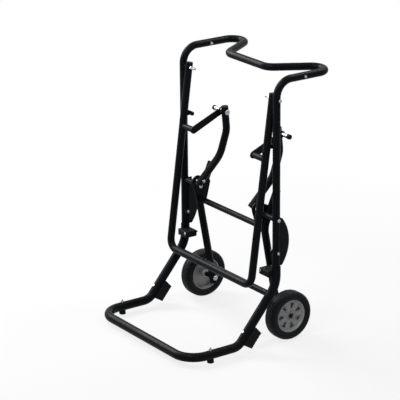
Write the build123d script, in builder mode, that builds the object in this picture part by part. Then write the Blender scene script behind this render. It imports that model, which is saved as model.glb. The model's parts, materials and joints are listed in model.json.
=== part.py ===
"""Wheeled folding stand for a table saw, in its upright transport pose.

Millimetres. X runs from the left side to the right side, Y from the foot bar
to the handle, Z up. The origin is on the floor, under the middle of the stand.
"""
from build123d import *
from math import atan2, cos, hypot, radians, sin, sqrt, tan
import os

os.makedirs("parts", exist_ok=True)

# Tube stock: one size for the upper half, and one that it plugs into for the lower half
tube_od = 31.75
tube_wall = 1.8
lower_od = 38.1
plug_gap = 0.2
plug_wall = 2.0
lower_wall = (lower_od - tube_od) / 2 - plug_gap
handle_plug_od = tube_od - 2 * (tube_wall + plug_gap)
foot_plug_od = lower_od - 2 * (lower_wall + plug_gap)
tube_r = tube_od / 2
lower_r = lower_od / 2

# Side tubes: centre line in the planes x = +frame_x and x = -frame_x
frame_x = 322.7
upright_y = 96.0
arm_y = 88.4
arm_z = 1143.0
top_bend_r = 70.0
knee_y = 98.2
knee_z = 271.5
knee_bend_r = 120.0
toe_y = -94.8
foot_z = 41.5
toe_bend_r = 60.0
socket_z = 352.0
socket_depth = 34.0
slope_angle = atan2(knee_y - toe_y, knee_z - foot_z)
slope_dir = (-sin(slope_angle), -cos(slope_angle))
slope_under = (cos(slope_angle), -sin(slope_angle))
slope_length = hypot(knee_y - toe_y, knee_z - foot_z)

# Handle bar
handle_reach = 359.0
handle_joint_share = 0.70195
handle_joint_y = handle_reach * handle_joint_share
handle_plug_room = 33.6
handle_plug = handle_joint_y - handle_plug_room - arm_y - top_bend_r
handle_bend_r = 52.0
handle_turn = 149.0
notch_y = 184.0
notch_bend_r = 52.0

# Foot bar
foot_joint_y = -182.0
foot_plug = 60.0
foot_reach = 345.825
foot_bend_r = 90.0

# The floor's height in the coordinates of this drawing, and the shift that makes the outermost
# points in front and behind even about the origin
floor_z = 7.5
frame_shift = ((handle_reach + tube_r) - (foot_reach + lower_r)) / 2

# Pivots
saw_pivot_z = 1063.0
saw_pivot_back = 2.0
leg_pivot_z = 555.0
saw_pivot_y = upright_y - saw_pivot_back
running_gap = 0.05
side_gap = 0.3
bolt_gap = 0.25

# Saw frame: a U of tube that hangs from the saw pivots and leans forward
saw_x = 289.0
saw_lean = radians(7.3)
saw_top = 16.0
saw_drop = 794.0
saw_bend_r = 45.0
mount_hole_r = 4.5
mount_drops = (228.0, 588.0)
saw_down = (-sin(saw_lean), -cos(saw_lean))
saw_back = (cos(saw_lean), -sin(saw_lean))

# Wheel legs: centre line in the planes x = +leg_x and x = -leg_x
leg_x = 230.0
axle_y = 179.0
leg_knee_y = 105.0
leg_knee_z = 494.0
leg_bend_r = 100.0
leg_top_y = 168.0
leg_top_z = 640.0
leg_tail = 20.0
leg_brace_od = 25.4
leg_brace_y = 109.0
leg_brace_z = 490.0
knee_plate_t = 6.0
knee_plate_rim = 12.0
plate_head_r = 28.0
pivot_boss_r = 10.0
pivot_ring_r = 9.0
pivot_ring_t = 4.0

# Lift links, between the knee plates and the saw frame
link_x = 184.0
crank_y = 84.9
crank_z = 589.2
lift_y = 207.0
lift_z = 872.0
link_low_knee = (182.0, 684.0)
link_high_knee = (216.0, 790.0)
link_low_bend_r = 120.0
link_high_bend_r = 90.0
link_top_z = 892.0
link_tail = 16.0
crank_pin_r = 4.5
crank_collar_r = 6.0
window_play = 0.7
window_r = crank_pin_r + window_play
window_steps = 14

# How far the wheel legs, the saw frame and the lift links turn as the stand opens
leg_fold = radians(112.6)
saw_swing = radians(-32.7)
link_swing = radians(52.87)

# Lift bracket on the saw frame
bracket_drop = 255.0
bracket_stub_od = 25.4
bracket_t = 6.0
bracket_eye_r = 14.0
lift_pin_r = 9.0
lift_collar_r = 12.0
lift_head_t = 4.0
lift_pin_reach = 262.0
lift_cap_r = 10.5
lift_cap_length = 14.0
lift_cap_wall = 2.2

# Wheels
wheel_r = 105.0
wheel_x = 302.0
tire_width = 60.0
tire_shoulder_r = 15.0
tire_depth = 34.0
rim_r = wheel_r - tire_depth
rim_width = 48.0
rim_wall = 5.0
rim_lip = 2.5
web_t = 16.0
web_inset = 10.0
dish_width = 16.0
dish_foot_r = rim_r - dish_width
hub_r = 17.0
hub_back = 23.5
hub_front = 18.0
spoke_count = 7
spoke_root = 17.0
spoke_tip = 30.0
spoke_height = 4.0
spoke_taper = 20.0
pocket_hub_room = 16.0
pocket_in = hub_r + pocket_hub_room
pocket_dish_room = 1.0
pocket_out = dish_foot_r - pocket_dish_room
pocket_root = 6.0
pocket_tip = 18.0
pocket_depth = 12.0
axle_r = 6.35
axle_spacer_r = 10.0
axle_head_r = 11.0
axle_head_t = 6.0
axle_cap_r = 10.0
axle_cap_t = 4.5
axle_z = floor_z + wheel_r

# Fasteners
pivot_bolt_r = 5.0
saw_bolt_r = 5.0
small_bolt_r = 4.0
head_share = 1.5
head_height_share = 0.9
nut_share = 1.7
nut_height_share = 1.3
thread_stub = 22.0
short_stub = 6.0
washer_t = 1.4
washer_r = 11.0

# Skids behind the uprights
skid_low_z = 357.0
skid_high_z = 560.0
skid_end_y = 119.0
skid_bulge_y = 154.0
skid_front_y = 103.0
skid_outer = 11.0
skid_tab_t = 4.0
skid_tab_r = 12.0
skid_bolt_z = 412.0
skid_gap = 0.15

# Ground blocks under the slopes
block_near = 194.0
block_far = 284.0
block_draft = 7.0
block_width = 46.0
block_depth = 50.0
block_wrap = 4.0
block_seat = 28.0
block_round = 6.0
block_groove = 3.0
block_groove_count = 4
block_bolt_at = 239.0

# Rest blocks inside the uprights
rest_inner_x = 257.0
rest_front_y = 58.0
rest_back_y = 108.0
rest_low_z = 310.5
rest_high_z = 336.5
rest_round = 4.0
rest_plate_t = 3.0
rest_bolt_in = 10.0
rest_bolt_down = 9.0

# Rear brace between the slopes
rear_brace_od = 26.7
rear_brace_z = 235.0
rear_brace_y = upright_y - (knee_z - rear_brace_z) * tan(slope_angle)

# Front feet
front_foot_y = -235.0
front_foot_r = 15.0
front_foot_top_r = 13.0
front_foot_round = 3.0
front_foot_socket = 8.0
front_foot_saddle = 5.0
foot_bolt_top = 74.0
bolt_tip_taper = 30.0

# Lock pins between the saw frame and the uprights
lock_drop = 200.0
lock_guide_r = 9.0
lock_guide_length = 24.0
lock_pin_r = 5.0
lock_pin_short = 0.6
lock_pin_length = 46.0
lock_knob_r = 9.0
lock_knob_length = 14.0
lock_travel = 6.0

# Caps in open tube ends
cap_head = 5.0
cap_plug = 18.0
saw_cap_plug = 8.0
cap_round = 2.0

handle_bolt_y = handle_joint_y - handle_plug / 2
overrun = 5.0
sides = (("left", -1), ("right", 1))
dome_share = 0.6
cap_dome_share = 0.12


def disc_x(x_from, x_to, y, z, radius, mode=Mode.ADD):
    """A cylinder along X between two X values."""
    with BuildSketch(Plane.YZ.offset(min(x_from, x_to))) as face:
        with Locations((y, z)):
            Circle(radius)
    extrude(face.sketch, amount=abs(x_to - x_from), mode=mode)


def hex_x(x_from, x_to, y, z, radius):
    """A hexagon nut along X between two X values."""
    with BuildSketch(Plane.YZ.offset(min(x_from, x_to))) as face:
        with Locations((y, z)):
            RegularPolygon(radius, 6)
    extrude(face.sketch, amount=abs(x_to - x_from))


def rod(start, end, radius, mode=Mode.ADD):
    """A cylinder between two points."""
    axis = Vector(*end) - Vector(*start)
    with BuildSketch(Plane(origin=start, z_dir=axis)) as face:
        Circle(radius)
    extrude(face.sketch, amount=axis.length, mode=mode)


def hex_rod(start, end, radius):
    """A hexagon prism between two points."""
    axis = Vector(*end) - Vector(*start)
    with BuildSketch(Plane(origin=start, z_dir=axis)) as face:
        RegularPolygon(radius, 6)
    extrude(face.sketch, amount=axis.length)


def domed_head(seat, tip, radius, share=dome_share):
    """A round bolt head that starts on its seat and is domed towards its tip."""
    axis = Vector(*tip) - Vector(*seat)
    with BuildSketch(Plane(origin=seat, z_dir=axis)) as face:
        Circle(radius)
    head = extrude(face.sketch, amount=axis.length, mode=Mode.PRIVATE)
    rim = head.edges().filter_by(GeomType.CIRCLE).sort_by(Axis(seat, axis))[-1]
    add(head.fillet(axis.length * share, [rim]))


def bent_tube(plane, points, radii, od, wall):
    """A hollow tube along straight runs joined by bends."""
    with BuildLine(plane) as path:
        FilletPolyline(*points, radius=radii)
    wire = path.wires()[0]
    with BuildSketch(Plane(origin=wire @ 0, z_dir=wire % 0)) as ring:
        Circle(od / 2)
        Circle(od / 2 - wall, mode=Mode.SUBTRACT)
    sweep(ring.sketch, path=wire)


def bent_rod(plane, points, radii, radius, mode=Mode.ADD):
    """A solid rod along straight runs joined by bends."""
    with BuildLine(plane) as path:
        FilletPolyline(*points, radius=radii)
    wire = path.wires()[0]
    with BuildSketch(Plane(origin=wire @ 0, z_dir=wire % 0)) as face:
        Circle(radius)
    sweep(face.sketch, path=wire, mode=mode)


def cross_bolt(outer_x, inner_x, y, z, radius, stub):
    """A bolt along X: head at the outer face, nut and thread at the inner one."""
    way = 1 if outer_x > inner_x else -1
    head_r = radius * head_share
    nut_h = radius * nut_height_share
    domed_head((outer_x, y, z), (outer_x + way * radius * head_height_share, y, z), head_r)
    disc_x(outer_x, inner_x - way * (nut_h + stub), y, z, radius)
    hex_x(inner_x, inner_x - way * nut_h, y, z, radius * nut_share)


def plug_end(x, y, z, way, od, wall, plug_od, length):
    """The end of a bar, drawn down to a plug that runs along Y into another tube."""
    with BuildSketch(Plane(origin=(x, y, z), z_dir=(0, -way, 0))) as shoulder:
        Circle(od / 2 - wall / 2)
        Circle(plug_od / 2 - plug_wall, mode=Mode.SUBTRACT)
    extrude(shoulder.sketch, amount=wall)
    with BuildSketch(Plane(origin=(x, y, z), z_dir=(0, way, 0))) as plug:
        Circle(plug_od / 2)
        Circle(plug_od / 2 - plug_wall, mode=Mode.SUBTRACT)
    extrude(plug.sketch, amount=length)


def upright_at(z):
    """The Y of the upright's centre line at a height."""
    return knee_y + (arm_y - knee_y) * (z - knee_z) / (arm_z - knee_z)


def finish(part, name):
    """Names a piece, moves it to the shared origin and writes it."""
    part = part.moved(Location((0, -frame_shift, -floor_z)))
    part.label = name
    export_step(part, f"parts/{name}.step")
    print(f"{name}: {part.volume:.0f} mm3, {len(part.solids())} solids")


def saw_point(drop, back=0.0):
    """A point (y, z) on the leaning saw frame, by its distance down and back."""
    return (saw_pivot_y + drop * saw_down[0] + back * saw_back[0],
            saw_pivot_z + drop * saw_down[1] + back * saw_back[1])


def slope_point(along, under=0.0):
    """A point (y, z) by the slope of the side tubes, from the knee down."""
    return (knee_y + along * slope_dir[0] + under * slope_under[0],
            knee_z + along * slope_dir[1] + under * slope_under[1])


# Side tubes: the upper ones plug into the lower ones behind the skids
upper_points = [(handle_joint_y, arm_z), (arm_y, arm_z),
                (upright_at(socket_z - socket_depth), socket_z - socket_depth)]
lower_points = [(upright_at(socket_z), socket_z), (knee_y, knee_z), (toe_y, foot_z), (foot_joint_y, foot_z)]
lower_bends = [knee_bend_r, toe_bend_r]
for name, side in sides:
    with BuildPart() as side_tube:
        bent_tube(Plane.YZ.offset(side * frame_x), upper_points, [top_bend_r], tube_od, tube_wall)
        inner_x = side * (frame_x - tube_r - overrun)
        outer_x = side * (frame_x + tube_r + overrun)
        for y, z, radius in ((handle_bolt_y, arm_z, small_bolt_r), (saw_pivot_y, saw_pivot_z, saw_bolt_r),
                             (upright_y, leg_pivot_z, pivot_bolt_r), (upright_y, skid_bolt_z, small_bolt_r)):
            disc_x(inner_x, outer_x, y, z, radius + bolt_gap, mode=Mode.SUBTRACT)
        lock_y, lock_z = saw_point(lock_drop)
        disc_x(inner_x, side * frame_x, upright_at(lock_z), lock_z, lock_pin_r + bolt_gap * 2, mode=Mode.SUBTRACT)
    finish(side_tube.part, f"side_tube_{name}")
    with BuildPart() as lower_tube:
        bent_tube(Plane.YZ.offset(side * frame_x), lower_points, lower_bends, lower_od, lower_wall)
        over_y, over_z = slope_point(block_bolt_at, -lower_r - overrun)
        under_y, under_z = slope_point(block_bolt_at, lower_r + overrun)
        rod((side * frame_x, over_y, over_z), (side * frame_x, under_y, under_z),
            small_bolt_r + bolt_gap, mode=Mode.SUBTRACT)
    finish(lower_tube.part, f"lower_tube_{name}")

# Handle bar, with a thinner plug at each end that slides into the side tube
handle_corner_y = handle_reach - handle_bend_r + handle_bend_r * tan(radians(handle_turn) / 2)
notch_x = frame_x - (handle_corner_y - notch_y) * tan(radians(180 - handle_turn))
with BuildPart() as handle_bar:
    bent_tube(Plane.XY.offset(arm_z),
              [(frame_x, handle_joint_y), (frame_x, handle_corner_y), (notch_x, notch_y),
               (-notch_x, notch_y), (-frame_x, handle_corner_y), (-frame_x, handle_joint_y)],
              [handle_bend_r, notch_bend_r, notch_bend_r, handle_bend_r], tube_od, tube_wall)
    for name, side in sides:
        plug_end(side * frame_x, handle_joint_y, arm_z, -1, tube_od, tube_wall, handle_plug_od, handle_plug)
        disc_x(side * (frame_x - tube_r), side * (frame_x + tube_r), handle_bolt_y, arm_z,
               small_bolt_r + bolt_gap, mode=Mode.SUBTRACT)
finish(handle_bar.part, "handle_bar")

# Foot bar, a U with a thinner plug at each end that slides into the lower tube
with BuildPart() as foot_bar:
    bent_tube(Plane.XY.offset(foot_z),
              [(frame_x, foot_joint_y), (frame_x, -foot_reach), (-frame_x, -foot_reach), (-frame_x, foot_joint_y)],
              [foot_bend_r, foot_bend_r], lower_od, lower_wall)
    for name, side in sides:
        plug_end(side * frame_x, foot_joint_y, foot_z, 1, lower_od, lower_wall, foot_plug_od, foot_plug)
        rod((side * frame_x, front_foot_y, foot_z - lower_r - overrun),
            (side * frame_x, front_foot_y, foot_z + lower_r + overrun), small_bolt_r + bolt_gap, mode=Mode.SUBTRACT)
finish(foot_bar.part, "foot_bar")

# Rear brace, with its ends cut to fit round the slopes
with BuildPart() as rear_brace:
    with BuildSketch(Plane.YZ.offset(-frame_x)) as ring:
        with Locations((rear_brace_y, rear_brace_z)):
            Circle(rear_brace_od / 2)
            Circle(rear_brace_od / 2 - tube_wall, mode=Mode.SUBTRACT)
    extrude(amount=2 * frame_x)
    for name, side in sides:
        bent_rod(Plane.YZ.offset(side * frame_x), lower_points, lower_bends, lower_r, mode=Mode.SUBTRACT)
finish(rear_brace.part, "rear_brace")

# Skids: half-moon mouldings behind the uprights, with tabs under the bolt heads
for name, side in sides:
    near_x = side * (frame_x - tube_r - skid_tab_t)
    with BuildPart() as skid:
        with BuildSketch(Plane.YZ.offset(min(near_x, side * (frame_x + skid_outer)))) as moon:
            with BuildLine():
                Polyline((skid_end_y, skid_low_z), (skid_front_y, skid_low_z), (skid_front_y, skid_high_z),
                         (skid_end_y, skid_high_z))
                ThreePointArc((skid_end_y, skid_high_z), (skid_bulge_y, (skid_low_z + skid_high_z) / 2),
                              (skid_end_y, skid_low_z))
            make_face()
        extrude(amount=skid_outer + tube_r + skid_tab_t)
        with BuildSketch(Plane.YZ.offset(min(near_x, near_x + side * skid_tab_t))) as tabs:
            for z in (leg_pivot_z, skid_bolt_z):
                with Locations((upright_y, z)):
                    Circle(skid_tab_r)
                with Locations(((upright_y + skid_end_y) / 2, z)):
                    Rectangle(skid_end_y - upright_y, 2 * skid_tab_r)
        extrude(amount=skid_tab_t)
        low_z = skid_low_z - tube_od
        high_z = skid_high_z + tube_od
        rod((side * frame_x, upright_at(low_z), low_z), (side * frame_x, upright_at(high_z), high_z),
            tube_r + skid_gap, mode=Mode.SUBTRACT)
        for z, radius in ((leg_pivot_z, pivot_bolt_r), (skid_bolt_z, small_bolt_r)):
            disc_x(near_x - side * overrun, side * frame_x, upright_y, z, radius + bolt_gap, mode=Mode.SUBTRACT)
    finish(skid.part, f"skid_{name}")

# Ground blocks: moulded feet under the slopes, which the stand rests on when it is open
for name, side in sides:
    with BuildPart() as ground_block:
        with BuildSketch(Plane.YZ.offset(side * frame_x - block_width / 2)) as outline:
            with BuildLine():
                Polyline(slope_point(block_near, block_wrap), slope_point(block_near + block_draft, block_depth),
                         slope_point(block_far - block_draft, block_depth), slope_point(block_far, block_wrap),
                         close=True)
            make_face()
            fillet(outline.vertices().group_by(Axis((0, 0, 0), (0, slope_under[0], slope_under[1])))[-1],
                   radius=block_round)
        extrude(amount=block_width)
        pitch = (block_far - block_near - 2 * block_draft) / (block_groove_count + 1)
        for index in range(block_groove_count):
            at = block_near + block_draft + pitch * (index + 1)
            start_y, start_z = slope_point(at, block_depth)
            rod((side * frame_x - block_width, start_y, start_z), (side * frame_x + block_width, start_y, start_z),
                block_groove / 2, mode=Mode.SUBTRACT)
        start_y, start_z = slope_point(0)
        end_y, end_z = slope_point(slope_length)
        rod((side * frame_x, start_y, start_z), (side * frame_x, end_y, end_z), lower_r + skid_gap,
            mode=Mode.SUBTRACT)
        start_y, start_z = slope_point(block_bolt_at)
        end_y, end_z = slope_point(block_bolt_at, block_depth + overrun)
        rod((side * frame_x, start_y, start_z), (side * frame_x, end_y, end_z), small_bolt_r + bolt_gap,
            mode=Mode.SUBTRACT)
        recess_y, recess_z = slope_point(block_bolt_at, block_seat)
        rod((side * frame_x, recess_y, recess_z), (side * frame_x, end_y, end_z), small_bolt_r * 2 * nut_share,
            mode=Mode.SUBTRACT)
    finish(ground_block.part, f"ground_block_{name}")

with BuildPart() as ground_block_bolts:
    for name, side in sides:
        seat = slope_point(block_bolt_at, -lower_r)
        top = slope_point(block_bolt_at, -lower_r - small_bolt_r * head_height_share)
        nut = slope_point(block_bolt_at, block_seat)
        nut_end = slope_point(block_bolt_at, block_seat + small_bolt_r * nut_height_share)
        end = slope_point(block_bolt_at, block_seat + small_bolt_r * nut_height_share + short_stub)
        x = side * frame_x
        domed_head((x, *seat), (x, *top), small_bolt_r * head_share)
        rod((x, *seat), (x, *end), small_bolt_r)
        hex_rod((x, *nut), (x, *nut_end), small_bolt_r * nut_share)
finish(ground_block_bolts.part, "ground_block_bolts")

# Rest blocks and their plates, inside the uprights
with BuildPart() as rest_plates:
    for name, side in sides:
        middle = (rest_inner_x + frame_x) / 2
        with BuildSketch(Plane.XZ.offset(-rest_back_y)) as plate:
            with Locations((side * middle, (rest_low_z + rest_high_z) / 2)):
                Rectangle(frame_x - rest_inner_x, rest_high_z - rest_low_z)
            with Locations((side * (rest_inner_x + rest_bolt_in), rest_high_z - rest_bolt_down)):
                Circle(small_bolt_r + bolt_gap, mode=Mode.SUBTRACT)
        extrude(amount=-rest_plate_t)
        bent_rod(Plane.YZ.offset(side * frame_x), lower_points, lower_bends, lower_r, mode=Mode.SUBTRACT)
finish(rest_plates.part, "rest_plates")

for name, side in sides:
    with BuildPart() as rest_block:
        middle = (rest_inner_x + frame_x) / 2
        with BuildSketch(Plane.XY.offset(rest_low_z)) as outline:
            with Locations((side * middle, (rest_front_y + rest_back_y) / 2)):
                RectangleRounded(frame_x - rest_inner_x, rest_back_y - rest_front_y, rest_round)
        extrude(amount=rest_high_z - rest_low_z)
        chamfer(rest_block.faces().sort_by(Axis.Z)[-1].edges(), length=rest_round / 2)
        bent_rod(Plane.YZ.offset(side * frame_x), lower_points, lower_bends, lower_r + skid_gap, mode=Mode.SUBTRACT)
        with BuildSketch(Plane.XY.offset(rest_low_z)) as outside:
            with Locations((side * (frame_x + lower_r), (rest_front_y + rest_back_y) / 2)):
                Rectangle(lower_od, 2 * (rest_back_y - rest_front_y))
        extrude(amount=rest_high_z, mode=Mode.SUBTRACT)
        bolt_x = side * (rest_inner_x + rest_bolt_in)
        bolt_z = rest_high_z - rest_bolt_down
        rod((bolt_x, rest_front_y - overrun, bolt_z), (bolt_x, rest_back_y + overrun, bolt_z),
            small_bolt_r + bolt_gap, mode=Mode.SUBTRACT)
    finish(rest_block.part, f"rest_block_{name}")

with BuildPart() as rest_bolts:
    for name, side in sides:
        x = side * (rest_inner_x + rest_bolt_in)
        z = rest_high_z - rest_bolt_down
        seat = rest_back_y + rest_plate_t
        domed_head((x, rest_front_y, z), (x, rest_front_y - small_bolt_r * head_height_share, z),
                   small_bolt_r * head_share)
        rod((x, rest_front_y, z), (x, seat + small_bolt_r * nut_height_share + short_stub, z), small_bolt_r)
        hex_rod((x, seat, z), (x, seat + small_bolt_r * nut_height_share, z), small_bolt_r * nut_share)
finish(rest_bolts.part, "rest_bolts")

# Front feet and their bolts
for name, side in sides:
    with BuildPart() as front_foot:
        foot_top = foot_z - lower_r + front_foot_saddle
        with BuildSketch(Plane.XZ.offset(-front_foot_y)) as profile:
            with BuildLine():
                Polyline((side * frame_x, floor_z), (side * frame_x + front_foot_r, floor_z),
                         (side * frame_x + front_foot_top_r, foot_top), (side * frame_x, foot_top), close=True)
            make_face()
            fillet(profile.vertices().sort_by(Axis.X)[-1], radius=front_foot_round)
        revolve(axis=Axis((side * frame_x, front_foot_y, floor_z), (0, 0, 1)))
        rod((side * frame_x, front_foot_y - lower_od, foot_z), (side * frame_x, front_foot_y + lower_od, foot_z),
            lower_r + skid_gap, mode=Mode.SUBTRACT)
        rod((side * frame_x, front_foot_y, 0), (side * frame_x, front_foot_y, foot_z), small_bolt_r + bolt_gap,
            mode=Mode.SUBTRACT)
        rod((side * frame_x, front_foot_y, 0), (side * frame_x, front_foot_y, floor_z + front_foot_socket),
            small_bolt_r * head_share + bolt_gap, mode=Mode.SUBTRACT)
    finish(front_foot.part, f"front_foot_{name}")

with BuildPart() as foot_bolts:
    for name, side in sides:
        x, y = side * frame_x, front_foot_y
        seat = floor_z + front_foot_socket
        domed_head((x, y, seat), (x, y, seat - small_bolt_r * head_height_share), small_bolt_r * head_share)
        rod((x, y, seat), (x, y, foot_bolt_top - small_bolt_r), small_bolt_r)
        hex_rod((x, y, foot_z + lower_r), (x, y, foot_z + lower_r + small_bolt_r * nut_height_share),
                small_bolt_r * nut_share)
        with BuildSketch(Plane.XY.offset(foot_bolt_top - small_bolt_r)) as tip:
            with Locations((x, y)):
                Circle(small_bolt_r)
        extrude(tip.sketch, amount=small_bolt_r, taper=bolt_tip_taper)
finish(foot_bolts.part, "foot_bolts")

# Bolts that run along X through the side tubes
with BuildPart() as handle_bolts:
    for name, side in sides:
        cross_bolt(side * (frame_x + tube_r), side * (frame_x - tube_r), handle_bolt_y, arm_z, small_bolt_r,
                   short_stub)
finish(handle_bolts.part, "handle_bolts")

with BuildPart() as skid_bolts:
    for name, side in sides:
        cross_bolt(side * (frame_x + tube_r), side * (frame_x - tube_r - skid_tab_t), upright_y, skid_bolt_z,
                   small_bolt_r, short_stub)
finish(skid_bolts.part, "skid_bolts")

with BuildPart() as saw_pivot_bolts:
    for name, side in sides:
        cross_bolt(side * (frame_x + tube_r), side * (saw_x - tube_r - side_gap), saw_pivot_y, saw_pivot_z,
                   saw_bolt_r, thread_stub)
finish(saw_pivot_bolts.part, "saw_pivot_bolts")

with BuildPart() as saw_pivot_washers:
    for name, side in sides:
        outer = side * (frame_x - tube_r)
        disc_x(outer, outer - side * washer_t, saw_pivot_y, saw_pivot_z, washer_r)
        disc_x(outer + side * overrun, outer - side * overrun, saw_pivot_y, saw_pivot_z, saw_bolt_r + running_gap,
               mode=Mode.SUBTRACT)
finish(saw_pivot_washers.part, "saw_pivot_washers")

knee_plate_in = leg_x - tube_r - knee_plate_t
knee_plate_out = leg_x - tube_r
pivot_boss_end = leg_x + tube_r
with BuildPart() as leg_pivot_bolts:
    for name, side in sides:
        head = side * (frame_x + tube_r)
        ring = side * (knee_plate_in - side_gap)
        domed_head((head, upright_y, leg_pivot_z),
                   (head + side * pivot_bolt_r * head_height_share, upright_y, leg_pivot_z),
                   pivot_bolt_r * head_share)
        disc_x(head, ring, upright_y, leg_pivot_z, pivot_bolt_r)
        disc_x(ring, ring - side * pivot_ring_t, upright_y, leg_pivot_z, pivot_ring_r)
finish(leg_pivot_bolts.part, "leg_pivot_bolts")

with BuildPart() as leg_pivot_spacers:
    for name, side in sides:
        near = side * (pivot_boss_end + side_gap)
        far = side * (frame_x - tube_r - skid_tab_t)
        disc_x(near, far, upright_y, leg_pivot_z, washer_r)
        disc_x(near - side * overrun, far + side * overrun, upright_y, leg_pivot_z, pivot_bolt_r + running_gap,
               mode=Mode.SUBTRACT)
finish(leg_pivot_spacers.part, "leg_pivot_spacers")

# Saw frame tube, in its own leaning plane
saw_plane = Plane(origin=(0, saw_pivot_y, saw_pivot_z), x_dir=(1, 0, 0), z_dir=(0, -saw_back[0], -saw_back[1]))
with BuildPart() as saw_tube:
    bent_tube(saw_plane, [(saw_x, saw_top), (saw_x, -saw_drop), (-saw_x, -saw_drop), (-saw_x, saw_top)],
              [saw_bend_r, saw_bend_r], tube_od, tube_wall)
    for name, side in sides:
        disc_x(side * (saw_x - tube_od), side * (saw_x + tube_od), saw_pivot_y, saw_pivot_z,
               saw_bolt_r + running_gap, mode=Mode.SUBTRACT)
        for drop in mount_drops:
            front_y, front_z = saw_point(drop, -tube_od)
            back_y, back_z = saw_point(drop, tube_od)
            rod((side * saw_x, front_y, front_z), (side * saw_x, back_y, back_z), mount_hole_r, mode=Mode.SUBTRACT)
finish(saw_tube.part, "saw_tube")


def end_cap(end, outward, od, wall, depth=cap_plug):
    """A moulded cap: a rounded head on the tube's end and a plug inside it."""
    head = Plane(origin=end, z_dir=outward)
    with BuildSketch(head) as face:
        Circle(od / 2)
    body = extrude(face.sketch, amount=cap_head, mode=Mode.PRIVATE)
    rim = body.edges().filter_by(GeomType.CIRCLE).sort_by(Axis(end, outward))[-1]
    add(body.fillet(cap_round, [rim]))
    with BuildSketch(Plane(origin=end, z_dir=Vector(*outward) * -1)) as plug:
        Circle(od / 2 - wall - plug_gap)
    extrude(plug.sketch, amount=depth)


with BuildPart() as saw_tube_caps:
    for name, side in sides:
        end_cap((side * saw_x, *saw_point(-saw_top)), (0, -saw_down[0], -saw_down[1]), tube_od, tube_wall,
                saw_cap_plug)
finish(saw_tube_caps.part, "saw_tube_caps")

# Lift brackets: a stub out of the saw frame and an arm back to the lift pin
bracket_in = link_x + tube_r + bracket_t
bracket_y, bracket_z = saw_point(bracket_drop)
for name, side in sides:
    with BuildPart() as lift_bracket:
        disc_x(side * bracket_in, side * saw_x, bracket_y, bracket_z, bracket_stub_od / 2)
        start_y, start_z = saw_point(0)
        end_y, end_z = saw_point(saw_drop)
        rod((side * saw_x, start_y, start_z), (side * saw_x, end_y, end_z), tube_r, mode=Mode.SUBTRACT)
        with BuildSketch(Plane.YZ.offset(min(side * bracket_in, side * (bracket_in + bracket_t)))) as arm:
            with Locations((bracket_y, bracket_z)):
                Circle(bracket_stub_od / 2 + bracket_t / 2)
            with Locations((lift_y, lift_z)):
                Circle(bracket_eye_r)
            make_hull()
            with Locations((lift_y, lift_z)):
                Circle(lift_pin_r, mode=Mode.SUBTRACT)
        extrude(amount=bracket_t)
    finish(lift_bracket.part, f"lift_bracket_{name}")

# Lift pins, fixed in the brackets, with a cap on each outer end
with BuildPart() as lift_pins:
    for name, side in sides:
        disc_x(side * (link_x - tube_r - side_gap), side * lift_pin_reach, lift_y, lift_z, lift_pin_r)
        disc_x(side * (link_x + tube_r + side_gap), side * bracket_in, lift_y, lift_z, lift_collar_r)
        inner = side * (link_x - tube_r - side_gap)
        domed_head((inner, lift_y, lift_z), (inner - side * lift_head_t, lift_y, lift_z), lift_collar_r)
finish(lift_pins.part, "lift_pins")

with BuildPart() as lift_pin_caps:
    for name, side in sides:
        end = side * (lift_pin_reach + lift_cap_wall)
        domed_head((side * (lift_pin_reach + lift_cap_wall - lift_cap_length), lift_y, lift_z), (end, lift_y, lift_z),
                   lift_cap_r, cap_dome_share)
        disc_x(0, side * lift_pin_reach, lift_y, lift_z, lift_pin_r, mode=Mode.SUBTRACT)
finish(lift_pin_caps.part, "lift_pin_caps")

# Lock pins: guides welded behind the saw frame, a pin in each and a knob on its inner end
guide_y = upright_at(lock_z)
guide_z = lock_z
guide_out = frame_x - tube_r - lock_pin_short - short_stub
for name, side in sides:
    with BuildPart() as lock_guide:
        near = side * (guide_out - lock_guide_length)
        far = side * guide_out
        with BuildSketch(Plane.YZ.offset(min(near, far))) as face:
            with Locations((guide_y, guide_z)):
                Circle(lock_guide_r)
            with Locations(((guide_y + lock_y) / 2, guide_z)):
                Rectangle(guide_y - lock_y, 2 * lock_guide_r)
            with Locations((guide_y, guide_z)):
                Circle(lock_pin_r + running_gap, mode=Mode.SUBTRACT)
        extrude(amount=lock_guide_length)
        start_y, start_z = saw_point(0)
        end_y, end_z = saw_point(saw_drop)
        rod((side * saw_x, start_y, start_z), (side * saw_x, end_y, end_z), tube_r, mode=Mode.SUBTRACT)
    finish(lock_guide.part, f"lock_guide_{name}")
    with BuildPart() as lock_pin:
        tip = side * (frame_x - tube_r - lock_pin_short)
        disc_x(tip, tip - side * lock_pin_length, guide_y, guide_z, lock_pin_r)
        chamfer(lock_pin.edges().filter_by(GeomType.CIRCLE).sort_by(Axis.X)[-1 if side > 0 else 0],
                length=lock_pin_r / 3)
    finish(lock_pin.part, f"lock_pin_{name}")
    with BuildPart() as lock_knob:
        end = side * (frame_x - tube_r - lock_pin_short - lock_pin_length)
        domed_head((end + side * lock_knob_length / 2, guide_y, guide_z),
                   (end - side * lock_knob_length / 2, guide_y, guide_z), lock_knob_r)
        disc_x(end, end + side * lock_knob_length, guide_y, guide_z, lock_pin_r, mode=Mode.SUBTRACT)
    finish(lock_knob.part, f"lock_knob_{name}")

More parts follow.
